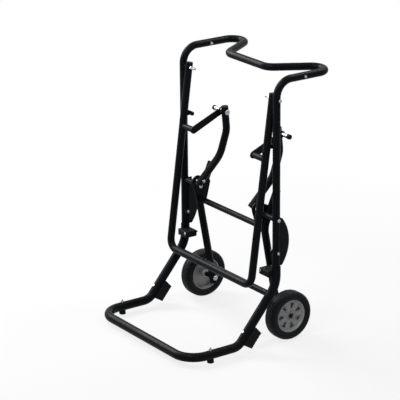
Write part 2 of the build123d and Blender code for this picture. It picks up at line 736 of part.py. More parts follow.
# Wheel legs
leg_drop = hypot(leg_knee_y - axle_y, leg_knee_z - axle_z)
leg_dir = ((axle_y - leg_knee_y) / leg_drop, (axle_z - leg_knee_z) / leg_drop)
leg_end = (axle_y + leg_dir[0] * leg_tail, axle_z + leg_dir[1] * leg_tail)
leg_rise = hypot(leg_top_y - leg_knee_y, leg_top_z - leg_knee_z)
leg_up = ((leg_top_y - leg_knee_y) / leg_rise, (leg_top_z - leg_knee_z) / leg_rise)
for name, side in sides:
    with BuildPart() as wheel_leg:
        bent_tube(Plane.YZ.offset(side * leg_x), [leg_end, (leg_knee_y, leg_knee_z), (leg_top_y, leg_top_z)],
                  [leg_bend_r], tube_od, tube_wall)
        disc_x(side * (leg_x - tube_od), side * (leg_x + tube_od), axle_y, axle_z, axle_r + bolt_gap,
               mode=Mode.SUBTRACT)
    finish(wheel_leg.part, f"wheel_leg_{name}")

with BuildPart() as wheel_leg_caps:
    for name, side in sides:
        end_cap((side * leg_x, *leg_end), (0, *leg_dir), tube_od, tube_wall)
        end_cap((side * leg_x, leg_top_y, leg_top_z), (0, *leg_up), tube_od, tube_wall)
        disc_x(side * (leg_x - tube_od), side * (leg_x + tube_od), axle_y, axle_z, axle_r + bolt_gap,
               mode=Mode.SUBTRACT)
finish(wheel_leg_caps.part, "wheel_leg_caps")

def turned(point, centre, angle):
    """A point (y, z) after a turn about a centre, counterclockwise as seen from the right side."""
    y, z = point[0] - centre[0], point[1] - centre[1]
    return (centre[0] + y * cos(angle) - z * sin(angle), centre[1] + y * sin(angle) + z * cos(angle))


def crank_point(share):
    """Where the crank pin stands on the knee plate, at a share of the stand's whole fold."""
    on_frame = turned((crank_y, crank_z), (lift_y, lift_z), share * link_swing)
    in_space = turned(on_frame, (saw_pivot_y, saw_pivot_z), share * saw_swing)
    return turned(in_space, (upright_y, leg_pivot_z), -share * leg_fold)


# Knee plates: each holds the leg pivot's boss and the window of the crank pin
window_path = [crank_point(index / window_steps) for index in range(window_steps + 1)]
window_y = sum(point[0] for point in window_path) / len(window_path)
window_z = sum(point[1] for point in window_path) / len(window_path)
for name, side in sides:
    with BuildPart() as knee_plate:
        with BuildSketch(Plane.YZ.offset(min(side * knee_plate_in, side * knee_plate_out))) as outline:
            with Locations((upright_y, leg_pivot_z)):
                Circle(2 * pivot_boss_r)
            with Locations((window_y, window_z)):
                Circle(plate_head_r)
            with Locations((leg_knee_y, leg_knee_z)):
                Circle(leg_brace_od / 2 + knee_plate_rim)
            with Locations((leg_knee_y + leg_up[0] * leg_rise / 2, leg_knee_z + leg_up[1] * leg_rise / 2)):
                Circle(knee_plate_rim)
            make_hull()
        extrude(amount=knee_plate_t)
        with BuildSketch(Plane.YZ.offset(min(side * knee_plate_in, side * knee_plate_out))) as window:
            with Locations(*window_path):
                Circle(window_r)
            make_hull()
        extrude(amount=knee_plate_t, mode=Mode.SUBTRACT)
        disc_x(side * knee_plate_in, side * pivot_boss_end, upright_y, leg_pivot_z, pivot_boss_r)
        disc_x(side * (knee_plate_in - overrun), side * (pivot_boss_end + overrun), upright_y, leg_pivot_z,
               pivot_bolt_r + running_gap, mode=Mode.SUBTRACT)
    finish(knee_plate.part, f"knee_plate_{name}")

with BuildPart() as leg_brace:
    with BuildSketch(Plane.YZ.offset(-knee_plate_in)) as ring:
        with Locations((leg_brace_y, leg_brace_z)):
            Circle(leg_brace_od / 2)
            Circle(leg_brace_od / 2 - tube_wall, mode=Mode.SUBTRACT)
    extrude(amount=2 * knee_plate_in)
finish(leg_brace.part, "leg_brace")

# Lift links: bent tubes from the crank pins up to the lift pins
low_run = hypot(link_low_knee[0] - crank_y, link_low_knee[1] - crank_z)
low_dir = ((crank_y - link_low_knee[0]) / low_run, (crank_z - link_low_knee[1]) / low_run)
link_low_end = (crank_y + low_dir[0] * link_tail, crank_z + low_dir[1] * link_tail)
top_run = hypot(lift_y - link_high_knee[0], lift_z - link_high_knee[1])
top_dir = ((lift_y - link_high_knee[0]) / top_run, (lift_z - link_high_knee[1]) / top_run)
link_top_end = (lift_y + top_dir[0] * (link_top_z - lift_z), lift_z + top_dir[1] * (link_top_z - lift_z))
for name, side in sides:
    with BuildPart() as lift_link:
        bent_tube(Plane.YZ.offset(side * link_x), [link_low_end, link_low_knee, link_high_knee, link_top_end],
                  [link_low_bend_r, link_high_bend_r], tube_od, tube_wall)
        disc_x(side * (link_x - tube_od), side * (link_x + tube_od), lift_y, lift_z, lift_pin_r + running_gap,
               mode=Mode.SUBTRACT)
        disc_x(side * (link_x - tube_od), side * (link_x + tube_od), crank_y, crank_z, crank_pin_r + bolt_gap,
               mode=Mode.SUBTRACT)
    finish(lift_link.part, f"lift_link_{name}")
    with BuildPart() as link_caps:
        end_cap((side * link_x, *link_low_end), (0, *low_dir), tube_od, tube_wall)
        end_cap((side * link_x, *link_top_end), (0, *top_dir), tube_od, tube_wall)
        disc_x(side * (link_x - tube_od), side * (link_x + tube_od), lift_y, lift_z, lift_pin_r + bolt_gap,
               mode=Mode.SUBTRACT)
        disc_x(side * (link_x - tube_od), side * (link_x + tube_od), crank_y, crank_z, crank_pin_r + bolt_gap,
               mode=Mode.SUBTRACT)
    finish(link_caps.part, f"link_caps_{name}")
    with BuildPart() as crank_pin:
        inner = side * (link_x - tube_r)
        domed_head((inner, crank_y, crank_z), (inner - side * crank_pin_r * head_height_share, crank_y, crank_z),
                   crank_pin_r * head_share)
        disc_x(inner, side * (knee_plate_out + side_gap), crank_y, crank_z, crank_pin_r)
        disc_x(side * (link_x + tube_r), side * (knee_plate_in - side_gap), crank_y, crank_z, crank_collar_r)
    finish(crank_pin.part, f"crank_pin_{name}")

# Axles and their caps
hub_in = wheel_x - hub_back
hub_out = wheel_x + hub_front
with BuildPart() as axles:
    for name, side in sides:
        seat = side * (leg_x - tube_r)
        domed_head((seat, axle_y, axle_z), (seat - side * axle_head_t, axle_y, axle_z), axle_head_r)
        disc_x(seat, side * (hub_out + axle_cap_t / 2), axle_y, axle_z, axle_r)
finish(axles.part, "axles")

with BuildPart() as axle_spacers:
    for name, side in sides:
        near = side * (leg_x + tube_r)
        far = side * (hub_in - side_gap)
        disc_x(near, far, axle_y, axle_z, axle_spacer_r)
        disc_x(near - side * overrun, far + side * overrun, axle_y, axle_z, axle_r + running_gap,
               mode=Mode.SUBTRACT)
finish(axle_spacers.part, "axle_spacers")

with BuildPart() as axle_caps:
    for name, side in sides:
        seat = side * (hub_out + side_gap)
        domed_head((seat, axle_y, axle_z), (seat + side * axle_cap_t, axle_y, axle_z), axle_cap_r)
        disc_x(seat - side * overrun, side * (hub_out + axle_cap_t / 2), axle_y, axle_z, axle_r,
               mode=Mode.SUBTRACT)
finish(axle_caps.part, "axle_caps")

# Wheels: a moulded rim with wedge spokes and a solid tire
for name, side in sides:
    centre = (side * wheel_x, axle_y, axle_z)
    wheel_plane = Plane(origin=centre, x_dir=(0, 1, 0), z_dir=(side, 0, 0))
    spin = Axis(centre, (1, 0, 0))
    half = rim_width / 2
    with BuildPart() as rim:
        with BuildSketch(Plane(origin=centre, x_dir=(0, 1, 0), z_dir=(0, 0, -side))) as profile:
            with BuildLine():
                Polyline((axle_r + running_gap, -hub_back), (hub_r, -hub_back),
                         (hub_r, half - web_inset - web_t), (rim_r - rim_wall, half - web_inset - web_t),
                         (rim_r - rim_wall, -half), (rim_r, -half), (rim_r, half), (rim_r - rim_lip, half),
                         (dish_foot_r, half - web_inset), (hub_r, half - web_inset),
                         (hub_r, hub_front - rim_lip / 2), (hub_r - rim_lip / 2, hub_front),
                         (axle_r + running_gap, hub_front), close=True)
            make_face()
        revolve(axis=spin)
        spoke_in = hub_r - rim_lip
        spoke_out = rim_r - rim_wall
        with BuildSketch(wheel_plane.offset(half - web_inset)) as wedge:
            with PolarLocations(0, spoke_count):
                Polygon((spoke_in, -spoke_root / 2), (spoke_out, -spoke_tip / 2), (spoke_out, spoke_tip / 2),
                        (spoke_in, spoke_root / 2), align=None)
        extrude(amount=spoke_height, taper=spoke_taper)
        with BuildSketch(wheel_plane.offset(half - web_inset)) as pockets:
            with PolarLocations(0, spoke_count, start_angle=180 / spoke_count):
                Polygon((pocket_in, -pocket_root / 2), (pocket_out, -pocket_tip / 2), (pocket_out, pocket_tip / 2),
                        (pocket_in, pocket_root / 2), align=None)
        extrude(amount=-pocket_depth, mode=Mode.SUBTRACT)
    finish(rim.part, f"rim_{name}")
    with BuildPart() as tire:
        with BuildSketch(Plane(origin=centre, x_dir=(0, 1, 0), z_dir=(0, 0, -side))) as profile:
            with BuildLine():
                wide = tire_width / 2
                Polyline((rim_r, half), (rim_r + rim_lip, half + rim_lip), (wheel_r - tire_shoulder_r, wide))
                ThreePointArc((wheel_r - tire_shoulder_r, wide),
                              (wheel_r - tire_shoulder_r * (1 - sqrt(0.5)),
                               wide - tire_shoulder_r * (1 - sqrt(0.5))),
                              (wheel_r, wide - tire_shoulder_r))
                Line((wheel_r, wide - tire_shoulder_r), (wheel_r, tire_shoulder_r - wide))
                ThreePointArc((wheel_r, tire_shoulder_r - wide),
                              (wheel_r - tire_shoulder_r * (1 - sqrt(0.5)),
                               tire_shoulder_r * (1 - sqrt(0.5)) - wide),
                              (wheel_r - tire_shoulder_r, -wide))
                Polyline((wheel_r - tire_shoulder_r, -wide), (rim_r + rim_lip, -half - rim_lip), (rim_r, -half),
                         (rim_r, half))
            make_face()
        revolve(axis=spin)
    finish(tire.part, f"tire_{name}")
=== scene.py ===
"""Looks of a wheeled folding stand for a table saw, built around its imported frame.

Metres, in the frame's own coordinates: X from the left side to the right side,
Y from the foot bar to the handle, Z up from the floor.
"""
import json

import bmesh
import bpy
import numpy as np
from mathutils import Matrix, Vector


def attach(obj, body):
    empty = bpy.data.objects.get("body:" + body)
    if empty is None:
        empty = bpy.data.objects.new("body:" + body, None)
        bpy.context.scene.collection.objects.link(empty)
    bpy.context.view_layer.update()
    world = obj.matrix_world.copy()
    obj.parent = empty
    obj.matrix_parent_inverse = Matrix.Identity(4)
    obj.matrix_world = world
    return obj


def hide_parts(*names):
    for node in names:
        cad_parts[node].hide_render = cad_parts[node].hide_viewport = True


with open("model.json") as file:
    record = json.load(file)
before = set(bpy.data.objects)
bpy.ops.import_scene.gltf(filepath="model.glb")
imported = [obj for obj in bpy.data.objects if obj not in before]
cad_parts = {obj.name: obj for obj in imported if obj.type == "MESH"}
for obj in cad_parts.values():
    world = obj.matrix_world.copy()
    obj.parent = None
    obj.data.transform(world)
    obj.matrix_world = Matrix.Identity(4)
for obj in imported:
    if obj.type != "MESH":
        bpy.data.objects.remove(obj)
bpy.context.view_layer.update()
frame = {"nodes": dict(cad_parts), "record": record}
nodes = frame["nodes"]
sides = (("left", -1.0), ("right", 1.0))
full_turn = 2 * np.pi
sideways = np.array((1.0, 0.0, 0.0))
backwards = np.array((0.0, 1.0, 0.0))
upwards = np.array((0.0, 0.0, 1.0))

# The frame's main sizes and places, as the part's drawing has them
tube_r = 0.015875
lower_r = 0.01905
plate_t = 0.006
frame_x = 0.3227
saw_x = 0.289
leg_x = 0.230
link_x = 0.184
wheel_x = 0.302
axle = (0.174, 0.105)
upright_y = 0.091
saw_pivot = (0.089, 1.0555)
leg_pivot = (0.091, 0.5475)
slope_turn = 0.69805
slope_along = np.array((0.0, -np.sin(slope_turn), -np.cos(slope_turn)))
saw_lean = np.radians(7.3)
saw_along = np.array((0.0, -np.sin(saw_lean), -np.cos(saw_lean)))
leg_along = np.array((0.0, 0.0630, 0.1460))


def turn(steps):
    """Angles spread evenly over one full turn, without the last one, which is the first again."""
    return np.arange(steps) * (full_turn / steps)


def unit(vectors):
    """Each row divided by its length."""
    return vectors / np.linalg.norm(vectors, axis=-1, keepdims=True)


def round_axle(x, radius, angle):
    """Points at an x, each at its radius and its angle about the wheels' axle."""
    y = axle[0] + radius * np.cos(angle)
    z = axle[1] + radius * np.sin(angle)
    return np.stack(np.broadcast_arrays(x, y, z), axis=-1)


def placed(name, data):
    """A new object that holds the data, in the scene."""
    thing = bpy.data.objects.new(name, data)
    bpy.context.scene.collection.objects.link(thing)
    return thing


def mesh_piece(name, points, quads, body, slot, sharp=None):
    """A smooth mesh of quads over an array of points, riding on a body, in the finish of its slot.

    Points that fall together are merged. The faces are turned over where the volume that they enclose,
    a sixth of the sum of each point's product with its faces, would be negative."""
    first, second, third, fourth = (points[quads[:, corner]] for corner in range(4))
    if np.einsum("ij,ij->", np.cross(third - first, fourth - second), first + third) < 0:
        quads = quads[:, ::-1]
    mesh = bpy.data.meshes.new(name)
    mesh.from_pydata(points.tolist(), [], quads.tolist())
    shape = bmesh.new()
    shape.from_mesh(mesh)
    bmesh.ops.remove_doubles(shape, verts=shape.verts, dist=1e-7)
    shape.to_mesh(mesh)
    shape.free()
    mesh.shade_smooth()
    if sharp:
        mesh.set_sharp_from_angle(angle=sharp)
    mesh.materials.append(finishes[slot])
    piece = placed(name, mesh)
    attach(piece, body)
    return piece


def grid_quads(rows, columns, round_rows=True):
    """The quads between neighbours of a grid whose columns run round, and whose rows may."""
    index = np.arange(rows * columns).reshape(rows, columns)
    below = np.roll(index, -1, axis=0)
    quads = np.stack((index, below, np.roll(below, -1, axis=1), np.roll(index, -1, axis=1)), axis=-1)
    return quads if round_rows else quads[:-1]


def grid_piece(name, grid, body, slot, round_rows=True, sharp=None):
    """A mesh over a grid of points that closes in both directions, or whose end rows shrink to a point."""
    quads = grid_quads(*grid.shape[:2], round_rows).reshape(-1, 4)
    return mesh_piece(name, grid.reshape(-1, 3), quads, body, slot, sharp)


def slab_piece(name, front, rear, kept, body, slot, sharp=None):
    """A solid between a front sheet and a rear one of the same grid, with the openings that kept leaves out.

    An edge of the front that only one of its quads uses is a border, and gets a wall back to the rear."""
    rows, columns = front.shape[:2]
    count = rows * columns
    quads = grid_quads(rows, columns, round_rows=False)[kept]
    edges = np.concatenate([quads[:, (corner, (corner + 1) % 4)] for corner in range(4)])
    border = edges[~np.isin(edges[:, 0] * count + edges[:, 1], edges[:, 1] * count + edges[:, 0])]
    walls = np.stack((border[:, 1], border[:, 0], border[:, 0] + count, border[:, 1] + count), axis=-1)
    points = np.concatenate((front.reshape(-1, 3), rear.reshape(-1, 3)))
    every = np.concatenate((quads, quads[:, ::-1] + count, walls))
    used, place = np.unique(every, return_inverse=True)
    return mesh_piece(name, points[used], place.reshape(every.shape), body, slot, sharp)


class Shader:
    """A material under construction: its nodes, the links between them and its surface."""

    def __init__(self, name):
        self.material = bpy.data.materials.new(name)
        self.material.use_nodes = True
        self.tree = self.material.node_tree
        self.surface = self.tree.nodes["Principled BSDF"]
        self.place = self.tree.nodes.new("ShaderNodeTexCoord").outputs["Object"]

    def node(self, kind, links=(), **values):
        """A new node with its settings, input values and the outputs that its inputs are linked to."""
        made = self.tree.nodes.new(kind)
        for key, value in values.items():
            setattr(made, key, value)
        for socket, source in dict(links).items():
            if isinstance(source, bpy.types.NodeSocket):
                self.tree.links.new(source, made.inputs[socket])
            else:
                made.inputs[socket].default_value = source
        return made

    def noise(self, scale, detail=2.0, stretch=(1.0, 1.0, 1.0)):
        """Noise over the piece's own coordinates, drawn out along an axis where stretch is small."""
        place = self.node("ShaderNodeMapping", {"Vector": self.place, "Scale": stretch}).outputs["Vector"]
        grain = self.node("ShaderNodeTexNoise", {"Vector": place, "Scale": scale, "Detail": detail})
        return grain.outputs["Fac"]

    def cells(self, scale):
        """The distance to the nearest point of a random set, which makes pebbled grain."""
        return self.node("ShaderNodeTexVoronoi", {"Vector": self.place, "Scale": scale}).outputs["Distance"]

    def ranged(self, source, start, end, low=0.0, high=1.0):
        """The source between start and end, carried over to between low and high."""
        span = self.node("ShaderNodeMapRange", {"Value": source, "From Min": start, "From Max": end,
                                                "To Min": low, "To Max": high})
        return span.outputs["Result"]

    def mixed(self, factor, first, second):
        """The first colour turning to the second as the factor goes from 0 to 1."""
        blend = self.node("ShaderNodeMix", data_type="RGBA")
        self.tree.links.new(factor, blend.inputs["Factor"])
        for socket, colour in (("A", first), ("B", second)):
            picked = [entry for entry in blend.inputs if entry.name == socket and entry.type == "RGBA"][0]
            if isinstance(colour, bpy.types.NodeSocket):
                self.tree.links.new(colour, picked)
            else:
                picked.default_value = (*colour, 1.0)
        return [entry for entry in blend.outputs if entry.type == "RGBA"][0]

    def bump(self, height, strength, distance, over=None):
        """A normal that follows the height, on top of another bump where one is given."""
        links = {"Height": height, "Strength": strength, "Distance": distance}
        if over:
            links["Normal"] = over
        return self.node("ShaderNodeBump", links).outputs["Normal"]

    def paint(self, colour, roughness, normal=None, metallic=0.0, specular=0.5, tint=(1.0, 1.0, 1.0)):
        """Joins the finished colour, roughness and normal to the surface, and sets how it reflects."""
        for socket, value in (("Base Color", colour), ("Roughness", roughness), ("Normal", normal)):
            if isinstance(value, bpy.types.NodeSocket):
                self.tree.links.new(value, self.surface.inputs[socket])
            elif value is not None:
                self.surface.inputs[socket].default_value = value
        self.surface.inputs["Metallic"].default_value = metallic
        self.surface.inputs["Specular IOR Level"].default_value = specular
        self.surface.inputs["Specular Tint"].default_value = (*tint, 1.0)
        return self.material


# Colours of the finishes, and the cool tint of what the black ones reflect
cool_gloss = (0.82, 0.91, 1.0)
coat_black = (0.0022, 0.0026, 0.0034)
coat_cloud = (0.0034, 0.0039, 0.0048)
coat_scuff = (0.0070, 0.0075, 0.0085)
zinc_pale = (0.34, 0.35, 0.37)
zinc_dull = (0.26, 0.27, 0.29)
rubber_black = (0.0048, 0.0052, 0.0058)
rubber_bloom = (0.0085, 0.0090, 0.0097)
tire_black = (0.0054, 0.0059, 0.0068)
tire_dust = (0.0095, 0.0101, 0.0110)
rim_grey = (0.222, 0.223, 0.227)
rim_cloud = (0.250, 0.251, 0.255)
rim_fleck = (0.285, 0.286, 0.290)
plastic_black = (0.0036, 0.0040, 0.0047)
plastic_cloud = (0.0052, 0.0057, 0.0065)


def powder_coat():
    """Satin black powder coat: a fine orange peel, faint cloudiness and a few dull scuffs."""
    coat = Shader("black_powder_coat")
    cloud = coat.ranged(coat.noise(scale=9.0, detail=3.0), start=0.3, end=0.7)
    scuff = coat.ranged(coat.noise(scale=70.0, detail=6.0, stretch=(1.0, 1.0, 0.35)), start=0.66, end=0.74)
    tone = coat.mixed(cloud, coat_black, coat_cloud)
    tone = coat.mixed(scuff, tone, coat_scuff)
    gloss = coat.ranged(coat.noise(scale=24.0, detail=4.0), start=0.3, end=0.7, low=0.35, high=0.42)
    peel = coat.bump(coat.noise(scale=620.0), strength=0.05, distance=0.00004)
    peel = coat.bump(coat.noise(scale=2600.0, detail=1.0), strength=0.03, distance=0.00001, over=peel)
    return coat.paint(tone, gloss, peel, specular=0.05, tint=cool_gloss)


def zinc_plate():
    """Bright zinc on turned steel: fine turning lines and faint clouding of the plate."""
    plate = Shader("zinc_plated_steel")
    cloud = plate.ranged(plate.noise(scale=140.0, detail=3.0), start=0.3, end=0.7)
    tone = plate.mixed(cloud, zinc_pale, zinc_dull)
    gloss = plate.ranged(plate.noise(scale=420.0, detail=4.0), start=0.3, end=0.7, low=0.24, high=0.38)
    lines = plate.bump(plate.noise(scale=1800.0, stretch=(1.0, 0.15, 0.15)), strength=0.15, distance=0.00004)
    return plate.paint(tone, gloss, lines, metallic=1.0)


def moulded_rubber():
    """Moulded black rubber: a pebbled skin and a grey bloom in patches."""
    rubber = Shader("moulded_black_rubber")
    bloom = rubber.ranged(rubber.noise(scale=45.0, detail=5.0), start=0.45, end=0.75)
    tone = rubber.mixed(bloom, rubber_black, rubber_bloom)
    gloss = rubber.ranged(bloom, start=0.0, end=1.0, low=0.58, high=0.78)
    skin = rubber.bump(rubber.cells(scale=900.0), strength=0.25, distance=0.00015)
    return rubber.paint(tone, gloss, skin, specular=0.08, tint=cool_gloss)


def tire_compound():
    """Solid tire rubber: dull, with fine pores and a trace of dust."""
    tire = Shader("solid_tire_rubber")
    dust = tire.ranged(tire.noise(scale=32.0, detail=6.0), start=0.5, end=0.78)
    tone = tire.mixed(dust, tire_black, tire_dust)
    gloss = tire.ranged(dust, start=0.0, end=1.0, low=0.50, high=0.72)
    pores = tire.bump(tire.noise(scale=1500.0), strength=0.3, distance=0.00010)
    return tire.paint(tone, gloss, pores, specular=0.09, tint=cool_gloss)


def wheel_grey():
    """Grey moulded wheel plastic with a metallic fleck and a slightly wavy skin."""
    wheel = Shader("grey_wheel_plastic")
    fleck = wheel.ranged(wheel.noise(scale=1900.0, detail=1.0), start=0.42, end=0.62)
    cloud = wheel.ranged(wheel.noise(scale=16.0, detail=3.0), start=0.3, end=0.7)
    tone = wheel.mixed(cloud, rim_grey, rim_cloud)
    tone = wheel.mixed(fleck, tone, rim_fleck)
    gloss = wheel.ranged(fleck, start=0.0, end=1.0, low=0.32, high=0.40)
    skin = wheel.bump(wheel.noise(scale=55.0), strength=0.12, distance=0.0004)
    return wheel.paint(tone, gloss, skin, metallic=0.15, specular=0.25)


def moulded_plastic():
    """Black moulded plastic with a fine spark-eroded grain."""
    plastic = Shader("black_moulded_plastic")
    cloud = plastic.ranged(plastic.noise(scale=30.0, detail=3.0), start=0.3, end=0.7)
    tone = plastic.mixed(cloud, plastic_black, plastic_cloud)
    gloss = plastic.ranged(cloud, start=0.0, end=1.0, low=0.46, high=0.56)
    grain = plastic.bump(plastic.cells(scale=1600.0), strength=0.30, distance=0.00008)
    return plastic.paint(tone, gloss, grain, specular=0.06, tint=cool_gloss)


finishes = {"black_paint": powder_coat(), "zinc_steel": zinc_plate(), "black_rubber": moulded_rubber(),
            "tire_rubber": tire_compound(), "wheel_plastic": wheel_grey(), "black_plastic": moulded_plastic()}
for part in frame["record"]["subparts"]:
    for holder in nodes[part["node"]].material_slots:
        holder.material = finishes[part["material_slot"]]

# Tires: half a section as distances from its middle and from the axle, and a shallow tread of lugs
tire_half = ((0.0, 0.1050), (0.0100, 0.1050), (0.0160, 0.1045), (0.0205, 0.1032), (0.0245, 0.1008),
             (0.0275, 0.0972), (0.0292, 0.0930), (0.0297, 0.0885), (0.0294, 0.0845), (0.0289, 0.0812),
             (0.0279, 0.0775), (0.0266, 0.0742), (0.0250, 0.0722), (0.0225, 0.0711))
lug_count = 30
lug_gap_share = 0.14
lug_stagger_share = 0.25
lug_slant = 27.0
rib_half = 0.0085
groove_half = 0.0012
tread_half = 0.0240
tread_floor = 0.0985
tread_depth = 0.0014
tire_steps = 450
tire_columns = 104


def smoothed(values):
    """Each value averaged with its two neighbours, which count half as much, round a closed row."""
    return (np.roll(values, 1) + 2 * values + np.roll(values, -1)) / 4


def tire_points(side):
    """A tire: its section carried round the axle, with the tread cut in.

    The section is the given half and its mirror image, drawn through evenly spaced points and smoothed.
    Lugs are counted by the share of a turn, with the two sides half a lug apart, and they slant by so many
    lugs for each metre from the middle. A point of the tread goes inwards by the tread's depth where it
    lies in one of the two grooves beside the middle rib, or in the gap between two lugs."""
    half = np.array(tire_half)
    section = np.concatenate((half, (half * (-1, 1))[::-1][:-1]))
    section = np.concatenate((section, section[:1]))
    travel = np.concatenate(([0.0], np.cumsum(np.linalg.norm(np.diff(section, axis=0), axis=1))))
    at = np.linspace(0, travel[-1], tire_columns, endpoint=False)
    across, radius = (smoothed(np.interp(at, travel, section[:, axis])) for axis in (0, 1))
    angle = turn(tire_steps)[:, None]
    off = np.abs(across)[None, :]
    lug = (angle * lug_count / full_turn + np.sign(across) * lug_stagger_share + off * lug_slant) % 1.0
    gap = (lug < lug_gap_share) & (off > rib_half)
    groove = np.abs(off - rib_half) < groove_half
    tread = (off < tread_half) & (radius > tread_floor)
    return round_axle(side * wheel_x + across, radius - tread_depth * (tread & (gap | groove)), angle)


for name, side in sides:
    tire = grid_piece(f"tire_tread_{name}", tire_points(side), f"wheel_{name}", "tire_rubber", sharp=0.9)
    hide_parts(f"tire_{name}")


# Rims: a dished face with wedge spokes and deep pockets, on a barrel with a web and a hub
spoke_count = 7
sector_steps = 32
pocket_share = 0.25
pocket_near = 0.0330
pocket_far = 0.0565
pocket_half_near = 0.0032
pocket_half_far = 0.0100
pocket_floor = 0.0030
spoke_rise = 0.0045
spoke_slope = 1.35
row_gap = 1e-6
# Each row has a radius, a distance out from the wheel's middle and the share of the spoke's height there
face_profile = ((0.0168, 0.0172, 0.0), (0.0172, 0.0160, 0.0), (0.0181, 0.0146, 0.4), (0.0200, 0.0136, 0.8),
                (0.0235, 0.0132, 1.0), (0.0290, 0.0131, 1.0), (pocket_near, 0.0131, 1.0),
                (0.0380, 0.0131, 1.0), (0.0430, 0.0131, 1.0), (0.0500, 0.0131, 1.0),
                (pocket_far, 0.0132, 1.0), (0.0586, 0.0136, 0.9), (0.0604, 0.0148, 0.6),
                (0.0619, 0.0170, 0.25), (0.0631, 0.0196, 0.05), (0.0641, 0.0217, 0.0), (0.0652, 0.0227, 0.0),
                (0.0661, 0.0230, 0.0), (0.0667, 0.0237, 0.0), (0.0678, 0.0240, 0.0), (0.0692, 0.0240, 0.0),
                (0.0702, 0.0236, 0.0), (0.0708, 0.0227, 0.0), (0.0710, 0.0213, 0.0))
barrel_profile = ((0.0662, -0.0238), (0.0706, -0.0238), (0.0710, -0.0230), (0.0710, 0.0222), (0.0690, 0.0232),
                  (0.0672, 0.0225), (0.0662, 0.0200), (0.0662, pocket_floor), (0.0168, pocket_floor),
                  (0.0168, -0.0020), (0.0662, -0.0020))
hub_profile = ((0.0065, -0.0235), (0.0162, -0.0235), (0.0170, -0.0227), (0.0170, 0.0168), (0.0165, 0.0176),
               (0.0154, 0.0180), (0.0144, 0.0178), (0.0139, 0.0170), (0.0136, 0.0156), (0.0120, 0.0154),
               (0.0109, 0.0156), (0.0107, 0.0176), (0.0104, 0.0179), (0.0065, 0.0180))
lathe_steps = 168


def face_points(side, flat=False):
    """The dished face of a rim: a profile of radius and height turned about the axle, with raised spokes.

    Each sector runs from the middle of one spoke to the middle of the next, with a pocket between. Its
    columns are drawn together so that two of them follow the pocket's sides, whose half width grows evenly
    with the radius. The height rises from the pocket's side to the spoke's crest by the smooth step
    3t squared less 2t cubed, times the share that the profile gives for its radius. Flat gives the same
    points at the level of the pocket's floor."""
    radius, height, share = (column[:, None] for column in np.array(face_profile).T)
    sector = full_turn / spoke_count
    step = np.arange(spoke_count * sector_steps)
    place = (step % sector_steps) / sector_steps * 2 - 1
    grown = np.clip((radius - pocket_near) / (pocket_far - pocket_near), 0, 1)
    half_angle = (pocket_half_near + (pocket_half_far - pocket_half_near) * grown) / radius
    size = np.abs(place)[None, :]
    inside = size / pocket_share * half_angle
    past = (size - pocket_share) / (1 - pocket_share)
    outside = half_angle + past * (sector / 2 - half_angle)
    swing = np.sign(place) * np.where(size < pocket_share, inside, outside)
    angle = (step // sector_steps + 0.5) * sector + swing
    climb = np.clip(past * spoke_slope, 0, 1)
    raised = height + spoke_rise * share * climb**2 * (3 - 2 * climb)
    return round_axle(side * (wheel_x + (pocket_floor if flat else raised)), radius, angle)


def face_kept():
    """The quads of a rim's face that are there: all but those between a pocket's sides and its two ends."""
    radius = np.array(face_profile)[:, 0]
    column = np.arange(spoke_count * sector_steps) % sector_steps
    edge = sector_steps * (1 - pocket_share) / 2
    in_pocket = (column >= edge) & (column < sector_steps - edge)
    in_ring = (radius[:-1] > pocket_near - row_gap) & (radius[:-1] < pocket_far - row_gap)
    return ~(in_ring[:, None] & in_pocket[None, :])


def lathe_points(profile, side):
    """A closed profile of radius and height turned about the axle."""
    radius, height = np.array(profile).T
    return round_axle(side * (wheel_x + height), radius, turn(lathe_steps)[:, None])


for name, side in sides:
    wheel = f"wheel_{name}"
    face = slab_piece(f"rim_face_{name}", face_points(side), face_points(side, flat=True), face_kept(), wheel,
                      "wheel_plastic", sharp=0.6)
    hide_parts(f"rim_{name}")
    grid_piece(f"rim_barrel_{name}", lathe_points(barrel_profile, side), wheel, "wheel_plastic", sharp=0.7)
    grid_piece(f"rim_hub_{name}", lathe_points(hub_profile, side), wheel, "wheel_plastic", sharp=0.9)


# Weld beads where tubes and plates meet
weld_r = 0.0022
small_weld_r = 0.0018
ripple_length = 0.0026
ripple_share = 0.13
ripple_lag = 1.1
ripple_steps = 8
bead_steps = 10
brace_r = 0.01335
brace_at = (0.06263, 0.2275)
cross_r = 0.0127
leg_brace_at = (0.104, 0.4825)
boss_r = 0.010
bracket_drop = 0.255
stub_at = (np.array((0.0, *saw_pivot)) + bracket_drop * saw_along)[1:]
knee_plate_out = leg_x - tube_r
knee_plate_in = knee_plate_out - plate_t
bracket_out = link_x + tube_r + 2 * plate_t


def bead_points(seam, out, rise, radius, ripples):
    """A circle round each point of a seam, in the plane of the two directions out and rise there.

    Its radius swells and shrinks by the ripple's share with the cosine of the ripples' angle, which lags
    towards out, so that the ripples lie like coins pushed over."""
    around = turn(bead_steps)[None, :]
    swell = radius * (1 + ripple_share * np.cos(ripples - ripple_lag * np.cos(around)))
    return (seam[:, None] + (swell * np.cos(around))[..., None] * out[:, None]
            + (swell * np.sin(around))[..., None] * rise)


def ring_bead(centre, branch, branch_r, host_along, host_r, bead_r):
    """A weld bead where a tube ends on another tube, or on a plate where host_r is zero.

    The seam is the circle of the branch, each point lifted along the branch's way to the host's surface:
    the square root of the host's radius squared less the point's sideways distance squared."""
    across = np.cross(branch, host_along)
    ripple_count = int(full_turn * branch_r / ripple_length)
    angle = turn(ripple_count * ripple_steps)[:, None]
    out = np.cos(angle) * host_along + np.sin(angle) * across
    lift = np.sqrt(np.maximum(host_r**2 - (branch_r * np.sin(angle)) ** 2, 0.0)) * branch
    seam = np.array(centre) + branch_r * out + lift
    return bead_points(seam, out, branch, bead_r, ripple_count * angle)


